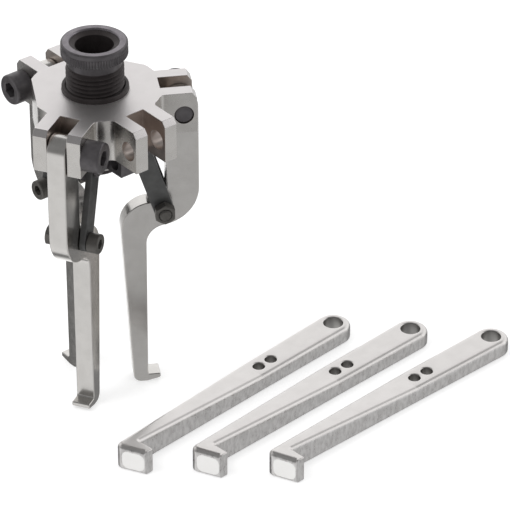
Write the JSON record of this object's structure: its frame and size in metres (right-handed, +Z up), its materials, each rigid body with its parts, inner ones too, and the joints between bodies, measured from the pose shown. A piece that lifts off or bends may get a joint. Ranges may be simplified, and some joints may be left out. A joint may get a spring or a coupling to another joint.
{
  "type": "gear puller",
  "caption": "Self-centring internal gear puller: star yoke, hollow adjusting sleeve, S-shaped jaws with outward hooks on paired links, and loose straight jaws beside it.",
  "frame": {"origin": "on the adjusting sleeve's axis, level with the yoke's top face", "axes": "+Z up along the sleeve's axis, away from the hooks; +Y towards jaw 1; -Y towards the empty clevis"},
  "size_m": [0.1916, 0.1525, 0.166],
  "materials": {
    "satin_nickel": "satin nickel-plated steel",
    "forged_nickel": "nickel-plated forging, ground top faces and rough sides",
    "black_oxide": "black oxide steel, oiled, semi-gloss",
    "blued_steel": "dark phosphated steel, satin",
    "bare_steel": "plain spring steel"
  },
  "bodies": {
    "frame": {"yoke": "satin_nickel", "threaded_bush": "black_oxide", "pivot_screw_1": "black_oxide", "pivot_screw_2": "black_oxide", "pivot_screw_3": "black_oxide"},
    "spider": {"spider": "black_oxide", "hub_pin_1": "black_oxide", "hub_pin_2": "black_oxide", "hub_pin_3": "black_oxide", "thrust_washer": "bare_steel"},
    "sleeve": {"adjusting_sleeve": "black_oxide", "retaining_ring": "bare_steel"},
    "jaw_1": {"s_jaw_1": "satin_nickel", "link_screw_1": "black_oxide", "link_nut_1": "black_oxide"},
    "link_1": {"link_1a": "blued_steel", "link_1b": "blued_steel"},
    "straight_1": {"straight_jaw_1": "forged_nickel"},
    "jaw_2": {"s_jaw_2": "satin_nickel", "link_screw_2": "black_oxide", "link_nut_2": "black_oxide"},
    "link_2": {"link_2a": "blued_steel", "link_2b": "blued_steel"},
    "straight_2": {"straight_jaw_2": "forged_nickel"},
    "jaw_3": {"s_jaw_3": "satin_nickel", "link_screw_3": "black_oxide", "link_nut_3": "black_oxide"},
    "link_3": {"link_3a": "blued_steel", "link_3b": "blued_steel"},
    "straight_3": {"straight_jaw_3": "forged_nickel"}
  },
  "joints": [
    {"name": "spider_slide", "type": "slide", "parent": "frame", "child": "spider", "axis": [0, 0, -1], "range_m": [-0.0012, 0.008]},
    {"name": "sleeve_turn", "type": "hinge", "parent": "spider", "child": "sleeve", "pos_m": [0, 0, 0], "axis": [0, 0, -1], "range_deg": [-216.1, 1440.1]},
    {"name": "jaw_1_swing", "type": "hinge", "parent": "frame", "child": "jaw_1", "pos_m": [0, 0.035, -0.0102], "axis": [1, 0, 0], "range_deg": [-2.36, 15.65]},
    {"name": "link_1_swing", "type": "hinge", "parent": "spider", "child": "link_1", "pos_m": [0, 0.017, -0.027], "axis": [1, 0, 0], "range_deg": [-4.06, 26.94]},
    {"name": "jaw_2_swing", "type": "hinge", "parent": "frame", "child": "jaw_2", "pos_m": [-0.03031, -0.0175, -0.0102], "axis": [-0.5, 0.866, 0], "range_deg": [-2.36, 15.65]},
    {"name": "link_2_swing", "type": "hinge", "parent": "spider", "child": "link_2", "pos_m": [-0.01472, -0.0085, -0.027], "axis": [-0.5, 0.866, 0], "range_deg": [-4.06, 26.94]},
    {"name": "jaw_3_swing", "type": "hinge", "parent": "frame", "child": "jaw_3", "pos_m": [0.03031, -0.0175, -0.0102], "axis": [-0.5, -0.866, 0], "range_deg": [-2.36, 15.65]},
    {"name": "link_3_swing", "type": "hinge", "parent": "spider", "child": "link_3", "pos_m": [0.01472, -0.0085, -0.027], "axis": [-0.5, -0.866, 0], "range_deg": [-4.06, 26.94]},
    {"name": "straight_1_lift", "type": "slide", "parent": "frame", "child": "straight_1", "axis": [0, 0, 1], "range_m": [0, 0.15]},
    {"name": "straight_2_lift", "type": "slide", "parent": "frame", "child": "straight_2", "axis": [0, 0, 1], "range_m": [0, 0.15]},
    {"name": "straight_3_lift", "type": "slide", "parent": "frame", "child": "straight_3", "axis": [0, 0, 1], "range_m": [0, 0.15]}
  ],
  "couplings": [
    {"joint": "sleeve_turn", "follows": "spider_slide", "rad_per_m": 3141.6},
    {"joint": "jaw_1_swing", "follows": "spider_slide", "rad_per_m": 34.1},
    {"joint": "link_1_swing", "follows": "spider_slide", "rad_per_m": 58.74},
    {"joint": "jaw_2_swing", "follows": "spider_slide", "rad_per_m": 34.1},
    {"joint": "link_2_swing", "follows": "spider_slide", "rad_per_m": 58.74},
    {"joint": "jaw_3_swing", "follows": "spider_slide", "rad_per_m": 34.1},
    {"joint": "link_3_swing", "follows": "spider_slide", "rad_per_m": 58.74}
  ]
}
